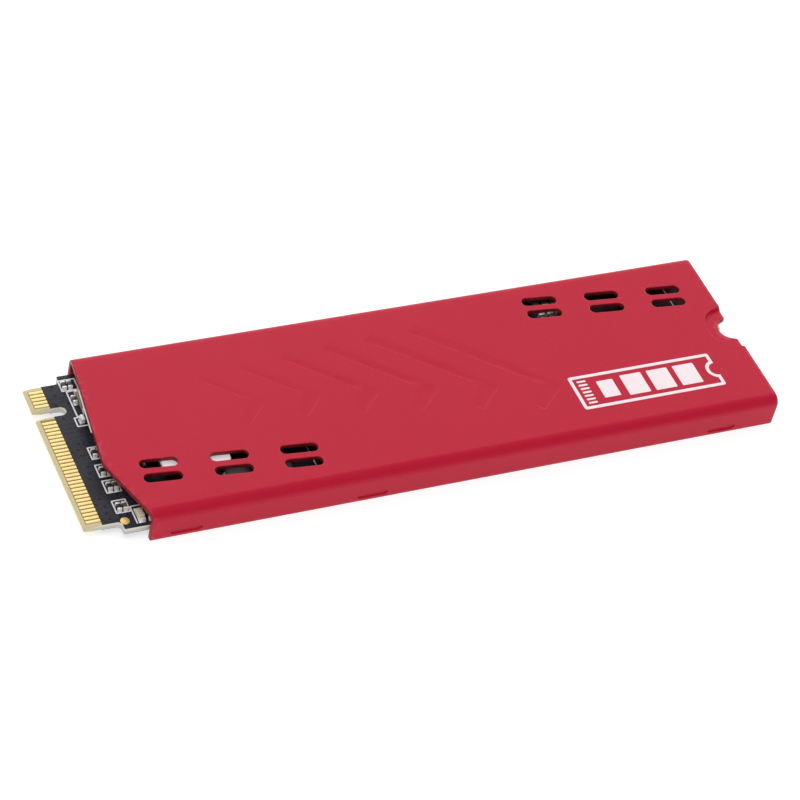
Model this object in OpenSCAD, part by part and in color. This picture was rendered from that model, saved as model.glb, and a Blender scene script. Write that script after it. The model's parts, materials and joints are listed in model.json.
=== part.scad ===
// M.2 2280 solid state drive with a formed sheet-metal heat spreader. Millimetres.
// +X runs from the edge connector to the screw end, +Y towards the key notch, +Z up.
// The origin is under the middle of the card, level with the lower edges of the heat spreader's walls.
// Places on the card are written from the connector's front edge (x) and the card's centre line (y).

/* [Card] */
// Length of the card, connector edge to screw end
card_l = 80; // [72:1:110]
// Width of the card
card_w = 22; // [22:0.5:24]
// Thickness of the card with its copper and solder mask
card_t = 0.8; // [0.6:0.1:1.0]
// Height of the card's underside above the lower edges of the walls
card_z = 0.9; // [0.9:0.1:1.4]
// Thickness of the copper and solder mask on each side
layer_t = 0.04; // [0.03:0.01:0.06]
// Radius of the half-round screw notch
screw_notch_r = 1.75; // [1.5:0.05:2]
// Outer radius of the plated ring round the screw notch
screw_ring_r = 2.75; // [2.5:0.05:3.2]

/* [Edge connector] */
// Width of the tongue that enters the socket
tongue_w = 19.85; // [19:0.05:20]
// Length of the tongue
tongue_l = 4; // [3.5:0.1:4.5]
// Concave radius where the tongue meets the card
tongue_fillet = 0.5; // [0.2:0.1:0.9]
// Width of one contact
contact_w = 0.35; // [0.3:0.01:0.4]
// Distance from one contact to the next
contact_pitch = 0.5; // [0.45:0.01:0.55]
// Where the contacts start and stop, from the front edge
contact_span = [0.4, 1.95];
// Centre of the key notch
key_y = 6.125; // [6:0.025:6.25]
// Width of the key notch
key_w = 1.2; // [1:0.05:1.3]
// Depth of the key notch
key_l = 3.5; // [2.5:0.1:3.8]

/* [Heat spreader] */
// Width over the two side walls
cover_w = 23.5; // [23.5:0.1:26]
// Height from the lower edges of the walls to the top face
cover_h = 3.8; // [3.8:0.1:5]
// Sheet thickness
sheet_t = 0.5; // [0.4:0.05:0.6]
// Outside radius of the two long bends
bend_r = 1.15; // [0.8:0.05:1.4]
// Tilt of the slots against the card's length, in degrees
slot_tilt = -5.5; // [-8:0.5:8]
// Length of one vent slot over its round ends
slot_l = 4.1; // [3:0.1:5]
// Width of one vent slot
slot_w = 1.15; // [0.8:0.05:1.3]
// Distance between the two slots of a pair
slot_gap = 1.97; // [1.6:0.01:2.2]
// Distance from one pair of slots to the next
slot_pitch = 7.56; // [6:0.01:8]
// Depth of the pressed chevrons
chevron_depth = 0.1; // [0.05:0.01:0.2]
// Radius of the screw recess
recess_r = 3.1; // [2.9:0.05:3.5]
// Depth of the screw recess
recess_depth = 0.4; // [0.3:0.05:0.8]
// Radius of the notch through the recess floor
cover_notch_r = 1.5; // [1.3:0.05:1.75]
// Length of a retention dimple
dimple_l = 3.5; // [2:0.1:5]
// Depth of a retention dimple
dimple_depth = 0.35; // [0.3:0.01:0.4]

/* [Chips] */
// Height of the tallest chips over the card
chip_top = 1.05; // [0.95:0.01:1.05]
// Height of the solder balls
ball_h = 0.25; // [0.2:0.01:0.3]
// Controller package, along x and y
controller_size = [7, 11];
// Memory package, along x and y
memory_size = [14, 18];

/* [Hidden] */
$fn = 48;
EPS = 0.01;
CUT = 1;

front = -card_l / 2;                   // x of the connector's front edge
card_top = card_z + card_t;            // upper surface of the solder mask
cover_inner = cover_h - sheet_t;       // underside of the top plate
chip_z = card_top + chip_top;          // top of the tallest chips
pad_gap = 0.01;                        // pads clear the chips so that the cover slides off
print_t = 0.02;                        // thickness of printed ink

// Places along the card, from the connector's front edge
controller_pos = [13.7, 0];
memory_pos = [[34.2, 0], [50.2, 0]];
front_edge = [[5.55, cover_w / 2], [3.87, -3.8], [6.55, -cover_w / 2]];
near_slots = [9.42, -5.9];
far_slots = [59.42, 7.55];
pairs_per_group = 3;
dimple_x = [10.5, 31.3, 73.4];
dimple_z = 0.7;
dimple_h = 0.66;
bump_l = dimple_l - 0.3;
bump_h = 0.36;
recess_wall = 0.45;

// Pressed chevrons: where the first one's corner lies, and the steps that place and size the others.
// Step one counts with the chevron's number and step two with its square.
chevron_count = 6;
chevron_corner = [[22.4, 0.95], [5.95, -0.45], [0.11, -0.11]];
chevron_arm = [4.45, 1.05, 0.058];
chevron_band = [1, 0.12];
chevron_shift = 0.04;
chevron_crook = [-0.8, 0.73];           // bend of the inner side, from the corner
chevron_lean = 1.1;
chevron_foot = 2;

// Plated alignment dots
fiducial_r = 0.48;
fiducials = [[4.35, -9.95], [77.2, 9.6], [77.2, -9.6]];

// Thermal pads: the front one as [y0, y1, rear x] with its thickness, the others as sizes along x and y
front_pad = [1.2, 7.2, 9.2];
front_pad_t = 0.28;
controller_pad = [7.4, 11.8];
memory_pad = [12, 14];

// Single chips as [x, y, z] sizes and places
power_manager_size = [4, 4, 0.85];
power_manager_at = [22.3, 4.9];
firmware_flash_size = [3, 2, 0.55];
firmware_flash_at = [22.2, -6.6];
crystal_base_size = [2, 2.5, 0.35];
crystal_lid_size = [1.7, 2.2, 0.2];
crystal_at = [20.6, -1.9];

// Solder ball grids as [columns, rows, pitch]; each memory chip has two, on either side of its centre
ball_d = 0.4;
controller_balls = [8, 13, 0.8];
memory_balls = [8, 6, 1];
memory_balls_y = 4;

// Printed pictogram: its outline, then the contact strokes and the chips, as sizes and places along it
mark_corner = [57.4, -8.25];
mark_size = [17.6, 4.9];
mark_line = 0.4;
mark_notch_r = 0.9;
mark_strokes = 7;
mark_stroke = [1.1, 0.26];
mark_stroke_x = 0.8;
mark_stroke_step = 0.53;
mark_controller = [2, 2.5];
mark_controller_x = 3;
mark_memory = [2.6, 3];
mark_memory_x = [6, 9.3, 12.6];

// Underside: the plain label's corner, size and thickness, and the test pads
label_corner = [27, -8.5];
label_size = [44, 17];
label_t = 0.1;
test_pad_r = 0.45;
test_pad_start = [9, -6];
test_pad_step = [2.4, 12];

contacts_top_y = [for (i = [0:28]) -9.25 + i * contact_pitch, for (i = [0:4]) 7.25 + i * contact_pitch];
contacts_bottom_y = [for (i = [0:28]) -9 + i * contact_pitch, for (i = [0:3]) 7.5 + i * contact_pitch];

// Surface-mount sizes: [length, width, height, terminal length]
SMD_0402 = [1.0, 0.5, 0.45, 0.25];
SMD_0603 = [1.6, 0.8, 0.7, 0.35];
SMD_1206 = [3.2, 1.6, 0.6, 0.45];
SMD_LED = [1.6, 0.8, 0.6, 0.3];
SMD_COIL = [2.5, 2.0, 1.0, 0.4];
SMD_SWITCH = [3.0, 2.0, 0.75, 0.2];

// Places of surface-mount parts: [x, y, turn], the turn being 0 along x and 90 along y
input_capacitor_at = [[5.8, 6.75, 90]];
led_at = [[6.05, -9.6, 90]];
switch_at = [[17.8, -7.2, 0]];
coils_at = [[8.2, 7.2, 0], [8.2, 4.2, 0], [22.3, 8.6, 0]];
front_pairs_y = [9.4, -0.5, -3.1, -5.3, -8.2];
small_capacitors_at = [
    for (y = front_pairs_y) [4.9, y, 90],
    [4.7, 7.2, 90],
    [7, -9.9, 90],
    for (i = [0:5]) [42.2, -7.5 + 3 * i, 90],
    for (i = [0:4]) [25.2, -2 + 1.2 * i, 0],
    for (i = [0:3]) [8.4, -3 + 1.1 * i, 0],
    for (s = [-1, 1]) [crystal_at[0] + 1.9 * s, crystal_at[1], 90]
];
resistors_at = [
    for (y = front_pairs_y) [4.25, y, 90],
    for (i = [0:5]) [18.9, -0.6 + 1.2 * i, 0],
    for (i = [0:2]) [12 + 1.4 * i, -7.4, 90],
    for (i = [0:3]) [66 + 1.3 * i, -6.4, 90]
];
large_capacitors_at = [
    [5.2, 4.2, 0],
    for (i = [0:2], k = [0:1]) [59.9 + 1.1 * i, 7.2 + 2.5 * k, 90],
    for (k = [0:3]) [59.9, -8.4 + 2.4 * k, 90],
    for (k = [0:1]) [25.3, 5.9 + 2.6 * k, 90]
];

// Silkscreen boxes on the card, and the bracket round the activity light: [x0, y0, x1, y1]
silk_line = 0.16;
silk_boxes = [
    [3.85, 8.7, 5.8, 10.4],
    [4.25, 4.9, 6.8, 8.7],
    [3.85, 3.5, 6.3, 4.9],
    [3.8, -1.25, 5.45, 0.55],
    [3.75, -3.8, 5.45, -1.95],
    [3.75, -6.05, 5.45, -4.2],
    [3.8, -8.9, 5.4, -7.05],
    [26.4, -9.6, 41.4, 9.6],
    [42.8, -9.6, 57.8, 9.6],
    [63, -9.6, 76, -8.2],
    [63, 6.2, 76.3, 10.3]
];
silk_bracket = [5.4, -10.6, 7.7, -8.15];

// ---- helpers ----

// Places children at a point of the card's upper surface, measured from the connector's front edge
module on_card(x, y, z = 0) {
    translate([front + x, y, card_top + z]) children();
}

// Flat outline with round ends, centred, its length along x
module round_ended(length, width) {
    square([length - width, width], center = true);
    for (s = [-1, 1]) translate([s * (length - width) / 2, 0]) circle(d = width);
}

// Block centred in x and y that stands on z = 0
module block(x, y, z) {
    translate([-x / 2, -y / 2, 0]) cube([x, y, z]);
}

// Bodies of surface-mount parts, without their metal ends
module smd_bodies(places, size) {
    for (p = places)
        on_card(p[0], p[1]) rotate([0, 0, p[2]]) block(size[0] - 2 * size[3], size[1], size[2]);
}

// Metal ends of surface-mount parts
module smd_ends(places, size) {
    for (p = places, s = [-1, 1])
        on_card(p[0], p[1]) rotate([0, 0, p[2]])
            translate([s * (size[0] - size[3]) / 2, 0, 0]) block(size[3], size[1], size[2]);
}

// Grid of short round solder balls under a chip
module ball_grid(pos, grid) {
    start = [pos[0] - (grid[0] - 1) / 2 * grid[2], pos[1] - (grid[1] - 1) / 2 * grid[2]];
    for (i = [0:grid[0] - 1], j = [0:grid[1] - 1])
        on_card(start[0] + i * grid[2], start[1] + j * grid[2])
            cylinder(h = ball_h, d = ball_d, $fn = 16);
}

// ---- heat spreader ----

// Flat bar with its two upper corners rounded, standing on y = 0
module round_topped(width, height, radius) {
    translate([-width / 2, 0]) square([width, height - radius]);
    translate([radius - width / 2, 0]) square([width - 2 * radius, height]);
    for (s = [-1, 1]) translate([s * (width / 2 - radius), height - radius]) circle(r = radius);
}

// Channel of sheet metal along the whole card
module channel() {
    translate([front, 0, 0]) rotate([90, 0, 90]) linear_extrude(card_l) difference() {
        round_topped(cover_w, cover_h, bend_r);
        translate([0, -CUT]) round_topped(cover_w - 2 * sheet_t, cover_inner + CUT, bend_r - sheet_t);
    }
}

// Everything behind the slanted connector-end edge, seen from above
module behind_front_edge(height) {
    side = cover_w / 2 + CUT;
    linear_extrude(height) polygon([
        [front + front_edge[0][0], side],
        for (p = front_edge) [front + p[0], p[1]],
        [front + front_edge[2][0], -side],
        [card_l / 2 + CUT, -side],
        [card_l / 2 + CUT, side]
    ]);
}

// One group of tilted slot pairs, starting at the middle of its first pair
module slot_group(start) {
    translate([front + start[0], start[1], cover_inner - CUT]) rotate([0, 0, slot_tilt])
        for (i = [0:pairs_per_group - 1], s = [-1, 1])
            translate([i * slot_pitch, s * slot_gap / 2, 0])
                linear_extrude(sheet_t + 2 * CUT) round_ended(slot_l, slot_w);
}

// Six pressed chevrons that point along +X, each wider, longer and further apart than the one before.
// The outline starts at the inner side's bend, then runs round the arm, the outer corner and the foot.
module chevrons() {
    for (i = [0:chevron_count - 1]) {
        corner = chevron_corner[0] + i * chevron_corner[1] + i * i * chevron_corner[2];
        arm = chevron_arm[0] + i * chevron_arm[1] + i * i * chevron_arm[2];
        band = (chevron_band[0] + i * chevron_band[1]) / sin(45);
        shift = i * i * chevron_shift;
        translate([front + corner[0], corner[1], cover_h - chevron_depth])
            linear_extrude(chevron_depth + CUT) polygon([
                chevron_crook,
                [-arm * chevron_lean, arm],
                [band / 2 - arm * chevron_lean, arm + band / 2],
                [band - shift / 2, 0],
                [band / 2 - chevron_foot - shift, -chevron_foot - band / 2],
                [-chevron_foot - shift, -chevron_foot]
            ]);
    }
}

// Round-ended prism through a side wall: side is 1 or -1, from one distance off the centre line to another
module wall_capsule(x, side, y_from, y_to, length, height) {
    translate([front + x, side * y_from, dimple_z]) rotate([-90 * side, 0, 0])
        linear_extrude(y_to - y_from) round_ended(length, height);
}

module heat_spreader() {
    inner_y = cover_w / 2 - sheet_t;
    color("firebrick") difference() {
        union() {
            intersection() {
                channel();
                behind_front_edge(cover_h + CUT);
            }
            intersection() {
                translate([card_l / 2, 0, cover_inner - recess_depth])
                    cylinder(h = recess_depth + sheet_t / 2, r = recess_r + recess_wall);
                translate([0, -card_w / 2, 0]) cube([card_l / 2, card_w, cover_h]);
            }
            for (x = dimple_x, side = [-1, 1])
                wall_capsule(x, side, inner_y - dimple_depth, inner_y + EPS, bump_l, bump_h);
        }
        slot_group(near_slots);
        slot_group(far_slots);
        chevrons();
        translate([card_l / 2, 0, cover_h - recess_depth]) cylinder(h = recess_depth + CUT, r = recess_r);
        translate([card_l / 2, 0, 0]) cylinder(h = cover_h + CUT, r = cover_notch_r);
        for (x = dimple_x, side = [-1, 1])
            wall_capsule(x, side, cover_w / 2 - dimple_depth, cover_w / 2 + CUT, dimple_l, dimple_h);
    }
}

// Generic white pictogram of a card with its contacts, chips and screw notch
module printed_mark() {
    color("white") translate([front + mark_corner[0], mark_corner[1], cover_h]) linear_extrude(print_t) {
        difference() {
            square(mark_size);
            translate([mark_line, mark_line]) square(mark_size - 2 * mark_line * [1, 1]);
            translate([mark_size[0], mark_size[1] / 2]) circle(r = mark_notch_r);
        }
        for (i = [0:mark_strokes - 1])
            mark_row(mark_stroke_x, (i - (mark_strokes - 1) / 2) * mark_stroke_step, mark_stroke);
        mark_row(mark_controller_x, 0, mark_controller);
        for (x = mark_memory_x) mark_row(x, 0, mark_memory);
    }
}

// Filled rectangle of the pictogram, centred off its middle line
module mark_row(x, off_middle, size) {
    translate([x, mark_size[1] / 2 + off_middle - size[1] / 2]) square(size);
}

// ---- thermal pads, stuck to the inside of the heat spreader ----

// Pad in the slanted front corner, its front edge level with the edge of the sheet
module front_thermal_pad() {
    slant = (front_edge[0][0] - front_edge[1][0]) / (front_edge[0][1] - front_edge[1][1]);
    color("white") on_card(0, 0, cover_inner - card_top - front_pad_t)
        linear_extrude(front_pad_t) polygon([
            [front_edge[1][0] + slant * (front_pad[0] - front_edge[1][1]), front_pad[0]],
            [front_pad[2], front_pad[0]],
            [front_pad[2], front_pad[1]],
            [front_edge[1][0] + slant * (front_pad[1] - front_edge[1][1]), front_pad[1]]
        ]);
}

module controller_thermal_pad() {
    color("white") on_card(controller_pos[0], controller_pos[1], chip_top + pad_gap)
        block(controller_pad[0], controller_pad[1], cover_inner - chip_z - pad_gap);
}

module memory_thermal_pads() {
    color("lightgray") for (p = memory_pos)
        on_card(p[0], p[1], chip_top + pad_gap)
            block(memory_pad[0], memory_pad[1], cover_inner - chip_z - pad_gap);
}

// ---- circuit card ----

// Outline of the card with its tongue, key notch and screw notch
module card_outline() {
    shoulder = front + tongue_l;
    difference() {
        union() {
            translate([shoulder, -card_w / 2]) square([card_l - tongue_l, card_w]);
            translate([front, -tongue_w / 2]) square([tongue_l + EPS, tongue_w]);
            for (s = [-1, 1]) mirror([0, (1 - s) / 2, 0]) difference() {
                translate([shoulder - tongue_fillet, tongue_w / 2 - EPS])
                    square([tongue_fillet + EPS, tongue_fillet + EPS]);
                translate([shoulder - tongue_fillet, tongue_w / 2 + tongue_fillet])
                    circle(r = tongue_fillet);
            }
        }
        translate([front - CUT, key_y - key_w / 2]) square([key_l - key_w / 2 + CUT, key_w]);
        translate([front + key_l - key_w / 2, key_y]) circle(d = key_w);
        translate([card_l / 2, 0]) circle(r = screw_notch_r);
    }
}

// The tongue's bevelled front edge, as the wedge that is cut away above or below
module front_bevel(z, side) {
    depth = 0.3;
    height = 0.2;
    translate([front, card_w / 2, z]) rotate([90, 0, 0]) linear_extrude(card_w) polygon([
        [-CUT, side * -height],
        [0, side * -height],
        [depth, 0],
        [depth, side * CUT],
        [-CUT, side * CUT]
    ]);
}

module laminate_core() {
    z0 = card_z + layer_t;
    z1 = card_top - layer_t;
    color("wheat") difference() {
        translate([0, 0, z0]) linear_extrude(z1 - z0) card_outline();
        front_bevel(z1, 1);
        front_bevel(z0, -1);
    }
}

// Outline of the solder mask: it stops short of the contacts and of the plated ring
module mask_outline() {
    difference() {
        card_outline();
        translate([front - CUT, -card_w / 2]) square([contact_span[1] + CUT, card_w]);
        translate([card_l / 2, 0]) circle(r = screw_ring_r);
    }
}

module solder_mask_top() {
    color("#1b1e2c") translate([0, 0, card_top - layer_t]) linear_extrude(layer_t) difference() {
        mask_outline();
        for (p = fiducials) translate([front + p[0], p[1]]) circle(r = fiducial_r);
    }
}

module solder_mask_bottom() {
    color("#1b1e2c") translate([0, 0, card_z]) linear_extrude(layer_t) mask_outline();
}

module contact_row(places, z) {
    for (y = places)
        translate([front + contact_span[0], y - contact_w / 2, z])
            cube([contact_span[1] - contact_span[0], contact_w, layer_t]);
}

module contacts_top() {
    color("gold") contact_row(contacts_top_y, card_top - layer_t);
}

module contacts_bottom() {
    color("gold") contact_row(contacts_bottom_y, card_z);
}

// Plated half-ring round the screw notch
module screw_ring(z) {
    translate([0, 0, z]) linear_extrude(layer_t) intersection() {
        difference() {
            translate([card_l / 2, 0]) circle(r = screw_ring_r);
            translate([card_l / 2, 0]) circle(r = screw_notch_r);
        }
        translate([0, -card_w / 2]) square([card_l / 2, card_w]);
    }
}

module screw_ring_top() {
    color("gold") screw_ring(card_top - layer_t);
}

module screw_ring_bottom() {
    color("gold") screw_ring(card_z);
}

module fiducial_marks() {
    color("gold") for (p = fiducials) on_card(p[0], p[1], -layer_t) cylinder(h = layer_t, r = fiducial_r);
}

// Flat rectangle between two opposite corners, as [x0, y0, x1, y1]
module box_outline(b) {
    translate([b[0], b[1]]) square([b[2] - b[0], b[3] - b[1]]);
}

// Printed lines: closed boxes, and a bracket that is open towards +X and the near edge of the card
module silkscreen() {
    color("white") on_card(0, 0) linear_extrude(print_t) {
        for (b = silk_boxes) difference() {
            box_outline(b);
            box_outline(b + silk_line * [1, 1, -1, -1]);
        }
        difference() {
            box_outline(silk_bracket);
            box_outline(silk_bracket + [silk_line, -CUT, CUT, -silk_line]);
        }
    }
}

module underside_label() {
    color("whitesmoke") translate([front + label_corner[0], label_corner[1], card_z - label_t])
        cube([label_size[0], label_size[1], label_t]);
}

module test_pads() {
    color("gold") for (i = [0:5], k = [0:1])
        translate([
            front + test_pad_start[0] + i * test_pad_step[0],
            test_pad_start[1] + k * test_pad_step[1],
            card_z - print_t
        ]) cylinder(h = print_t, r = test_pad_r);
}

// ---- chips ----

module controller_chip() {
    color("#26272b") on_card(controller_pos[0], controller_pos[1], ball_h)
        block(controller_size[0], controller_size[1], chip_top - ball_h);
}

module controller_solder_balls() {
    color("silver") ball_grid(controller_pos, controller_balls);
}

module memory_chip(pos) {
    color("#202125") on_card(pos[0], pos[1], ball_h)
        block(memory_size[0], memory_size[1], chip_top - ball_h);
}

module memory_chip_front() {
    memory_chip(memory_pos[0]);
}

module memory_chip_rear() {
    memory_chip(memory_pos[1]);
}

module memory_solder_balls() {
    color("silver") for (p = memory_pos, s = [-1, 1])
        ball_grid([p[0], p[1] + s * memory_balls_y], memory_balls);
}

module power_manager_chip() {
    color("#26272b") on_card(power_manager_at[0], power_manager_at[1])
        block(power_manager_size[0], power_manager_size[1], power_manager_size[2]);
}

module firmware_flash() {
    color("#26272b") on_card(firmware_flash_at[0], firmware_flash_at[1])
        block(firmware_flash_size[0], firmware_flash_size[1], firmware_flash_size[2]);
}

module crystal_base() {
    color("ivory") on_card(crystal_at[0], crystal_at[1])
        block(crystal_base_size[0], crystal_base_size[1], crystal_base_size[2]);
}

module crystal_lid() {
    color("silver") on_card(crystal_at[0], crystal_at[1], crystal_base_size[2])
        block(crystal_lid_size[0], crystal_lid_size[1], crystal_lid_size[2]);
}

// ---- surface-mount parts ----

module load_switch() {
    color("#26272b") smd_bodies(switch_at, SMD_SWITCH);
}

module load_switch_terminals() {
    color("silver") smd_ends(switch_at, SMD_SWITCH);
}

module power_inductors() {
    color("dimgray") smd_bodies(coils_at, SMD_COIL);
}

module inductor_terminals() {
    color("silver") smd_ends(coils_at, SMD_COIL);
}

module input_capacitor() {
    color("#8d8258") smd_bodies(input_capacitor_at, SMD_1206);
}

module input_capacitor_terminals() {
    color("silver") smd_ends(input_capacitor_at, SMD_1206);
}

module small_capacitors() {
    color("#8a7a5c") smd_bodies(small_capacitors_at, SMD_0402);
}

module small_capacitor_terminals() {
    color("silver") smd_ends(small_capacitors_at, SMD_0402);
}

module large_capacitors() {
    color("#8a7a5c") smd_bodies(large_capacitors_at, SMD_0603);
}

module large_capacitor_terminals() {
    color("silver") smd_ends(large_capacitors_at, SMD_0603);
}

module resistors() {
    color("#16171a") smd_bodies(resistors_at, SMD_0402);
}

module resistor_terminals() {
    color("silver") smd_ends(resistors_at, SMD_0402);
}

module activity_light() {
    color("#e4dfc4") smd_bodies(led_at, SMD_LED);
}

module activity_light_terminals() {
    color("silver") smd_ends(led_at, SMD_LED);
}

heat_spreader();
printed_mark();
front_thermal_pad();
controller_thermal_pad();
memory_thermal_pads();
laminate_core();
solder_mask_top();
solder_mask_bottom();
contacts_top();
contacts_bottom();
screw_ring_top();
screw_ring_bottom();
fiducial_marks();
silkscreen();
controller_chip();
controller_solder_balls();
memory_chip_front();
memory_chip_rear();
memory_solder_balls();
power_manager_chip();
load_switch();
load_switch_terminals();
firmware_flash();
crystal_base();
crystal_lid();
power_inductors();
inductor_terminals();
input_capacitor();
input_capacitor_terminals();
small_capacitors();
small_capacitor_terminals();
large_capacitors();
large_capacitor_terminals();
resistors();
resistor_terminals();
activity_light();
activity_light_terminals();
underside_label();
test_pads();
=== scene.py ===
import json
import math

import bmesh
import bpy
import numpy as np
from mathutils import Matrix, Vector, geometry


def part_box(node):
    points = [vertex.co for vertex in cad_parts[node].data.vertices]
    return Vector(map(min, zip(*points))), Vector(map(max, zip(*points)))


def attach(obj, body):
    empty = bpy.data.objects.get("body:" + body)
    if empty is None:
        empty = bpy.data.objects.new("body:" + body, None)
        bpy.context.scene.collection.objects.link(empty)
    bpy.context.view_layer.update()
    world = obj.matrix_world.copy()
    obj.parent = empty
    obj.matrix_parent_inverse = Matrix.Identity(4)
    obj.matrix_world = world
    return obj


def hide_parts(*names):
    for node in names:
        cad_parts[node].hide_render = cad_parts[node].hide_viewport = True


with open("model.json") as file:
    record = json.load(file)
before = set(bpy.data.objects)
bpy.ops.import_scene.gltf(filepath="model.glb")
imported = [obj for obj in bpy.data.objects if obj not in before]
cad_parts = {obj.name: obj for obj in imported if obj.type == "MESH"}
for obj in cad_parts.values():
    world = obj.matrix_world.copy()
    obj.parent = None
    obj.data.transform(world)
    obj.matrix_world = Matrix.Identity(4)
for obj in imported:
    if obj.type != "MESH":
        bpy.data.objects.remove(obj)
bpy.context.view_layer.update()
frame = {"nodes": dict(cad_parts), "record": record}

# Lengths below are in millimetres, in the frame's own axes, and finish_node() turns them into metres.
# Places along the card are counted from the connector's front edge, which lies at x = FRONT.
MM = 0.001


def box_mm(node):
    """Lowest and highest corner of a CAD node, in millimetres."""
    low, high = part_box(node)
    return np.array(low) / MM, np.array(high) / MM


CARD_LOW, CARD_HIGH = box_mm("laminate_core")
COVER_LOW, COVER_HIGH = box_mm("heat_spreader")
FRONT = CARD_LOW[0]
CARD_L = CARD_HIGH[0] - CARD_LOW[0]
CARD_W = CARD_HIGH[1] - CARD_LOW[1]
COVER_W = COVER_HIGH[1] - COVER_LOW[1]
COVER_H = COVER_HIGH[2]

# Heat spreader
SHEET_T = 0.5
BEND_R = 1.15
SLOT_TILT = -5.5
SLOT_L = 4.1
SLOT_W = 1.15
SLOT_GAP = 1.97
SLOT_PITCH = 7.56
SLOT_STARTS = [(9.42, -5.9), (59.42, 7.55)]
PAIRS = 3
FRONT_EDGE = [(5.55, COVER_W / 2), (3.87, -3.8), (6.55, -COVER_W / 2)]
WALL_CORNER = 0.2
CHEVRON_DEPTH = 0.07
CHEVRON_FADE = [0.5, 0.65, 0.85, 1, 1, 1]
RECESS_R = 3.1
RECESS_DEPTH = 0.4
RECESS_WALL = 0.45
COVER_NOTCH_R = 1.5
DIMPLE_X = [10.5, 31.3, 73.4]
DIMPLE_Z = 0.7
DIMPLE_L = 3.5
DIMPLE_H = 0.66
BUMP_H = 0.36
DIMPLE_DEPTH = 0.35
GROOVE_DEPTH = 0.15

# Card
TONGUE_W = 19.85
TONGUE_L = 4.0
TONGUE_FILLET = 0.5
KEY_Y = 6.125
KEY_W = 1.2
KEY_L = 3.5
SCREW_NOTCH_R = 1.75
SCREW_RING_R = 2.75
MASK_START = 1.95
CONTACT_SPAN = (0.4, 1.95)
CONTACT_ROWS = [(-9.42, 5.18), (7.08, 9.43)]
SILK_LINE = 0.16
SILK_BOXES = [
    (3.85, 8.7, 5.8, 10.4), (4.25, 4.9, 6.8, 8.7), (3.85, 3.5, 6.3, 4.9), (3.8, -1.25, 5.45, 0.55),
    (3.75, -3.8, 5.45, -1.95), (3.75, -6.05, 5.45, -4.2), (3.8, -8.9, 5.4, -7.05),
    (26.4, -9.6, 41.4, 9.6), (42.8, -9.6, 57.8, 9.6), (63, -9.6, 76, -8.2), (63, 6.2, 76.3, 10.3),
]
SILK_BRACKET = (5.4, -10.6, 7.7, -8.15)
BEVEL_L = 0.3
BEVEL_H = 0.2
CORNER_R = 0.12


# ---- outlines, as arrays of points in a plane ----

def unit(vector):
    return vector / np.linalg.norm(vector)


def rotation(angle):
    """Matrix that turns a point in a plane by an angle in radians."""
    return np.array([[math.cos(angle), -math.sin(angle)], [math.sin(angle), math.cos(angle)]])


def outline(corners, step=1.0, arc_steps=6):
    """Closed outline through corners (x, y, radius), with straight runs cut to at most one step."""
    points = []
    for i, (x, y, radius) in enumerate(corners):
        here = np.array((x, y), float)
        if radius == 0:
            points.append(here)
            continue
        back = unit(np.array(corners[i - 1][:2]) - here)
        ahead = unit(np.array(corners[i + 1 - len(corners)][:2]) - here)
        half = math.acos(np.clip(back @ ahead, -1, 1)) / 2
        centre = here + unit(back + ahead) * radius / math.sin(half)
        start = here + back * radius / math.tan(half) - centre
        end = here + ahead * radius / math.tan(half) - centre
        sweep = math.atan2(start[0] * end[1] - start[1] * end[0], start @ end)
        points += [centre + rotation(sweep * k / arc_steps) @ start for k in range(arc_steps + 1)]
    return cut_to_step(np.array(points), step)


def cut_to_step(points, step):
    """Adds points along each side of a closed outline so that no side is longer than step."""
    result = []
    for here, after in zip(points, np.roll(points, -1, axis=0)):
        length = np.linalg.norm(after - here)
        if length < 1e-6:
            continue
        parts = max(1, math.ceil(length / step - 1e-6))
        result += [here + (after - here) * k / parts for k in range(parts)]
    return np.array(result)


def rectangle(x0, y0, x1, y1, radius=0.0):
    corners = [(x0, y0, radius), (x1, y0, radius), (x1, y1, radius), (x0, y1, radius)]
    return outline(corners, arc_steps=4)


def arc(x, y, radius, start, end, count):
    """Sharp outline corners along an arc from one angle to another, in degrees."""
    angles = np.radians(np.linspace(start, end, count))
    return [(x + radius * math.cos(a), y + radius * math.sin(a), 0) for a in angles]


def circle(x, y, radius, count=32):
    angles = np.arange(count) * 2 * math.pi / count
    return np.stack([x + radius * np.cos(angles), y + radius * np.sin(angles)], axis=1)


def capsule(x, y, length, width, tilt=0.0, arc_steps=12, step=0.5):
    """Outline with round ends, centred, its length turned from x by tilt degrees."""
    reach = (length - width) / 2
    angles = np.linspace(-math.pi / 2, math.pi / 2, arc_steps + 1)
    right = np.stack([reach + np.cos(angles) * width / 2, np.sin(angles) * width / 2], axis=1)
    points = cut_to_step(np.concatenate([right, -right]), step)
    return points @ rotation(math.radians(tilt)).T + (x, y)


def outward(points):
    """Outward unit normals at the points of an outline that runs anticlockwise, scaled for mitres."""
    back = points - np.roll(points, 1, axis=0)
    back /= np.linalg.norm(back, axis=1, keepdims=True)
    side = np.stack([back[:, 1], -back[:, 0]], axis=1)
    normal = side + np.roll(side, -1, axis=0)
    normal /= np.linalg.norm(normal, axis=1, keepdims=True)
    return normal / np.maximum(0.5, (normal * side).sum(axis=1, keepdims=True))


def grow(points, distance):
    return points + outward(points) * distance


def inside(points, loop):
    """Which points lie inside a closed outline."""
    result = np.zeros(len(points), bool)
    x, y = points[:, 0], points[:, 1]
    for (x0, y0), (x1, y1) in zip(loop, np.roll(loop, -1, axis=0)):
        if y0 != y1:
            result ^= ((y0 > y) != (y1 > y)) & (x < (x1 - x0) * (y - y0) / (y1 - y0) + x0)
    return result


def signed_distance(points, loop):
    """Distance of each point from a closed outline, negative inside it."""
    nearest = np.full(len(points), np.inf)
    for start, end in zip(loop, np.roll(loop, -1, axis=0)):
        nearest = np.minimum(nearest, segment_distance(points, start, end))
    return nearest * np.where(inside(points, loop), -1, 1)


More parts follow.
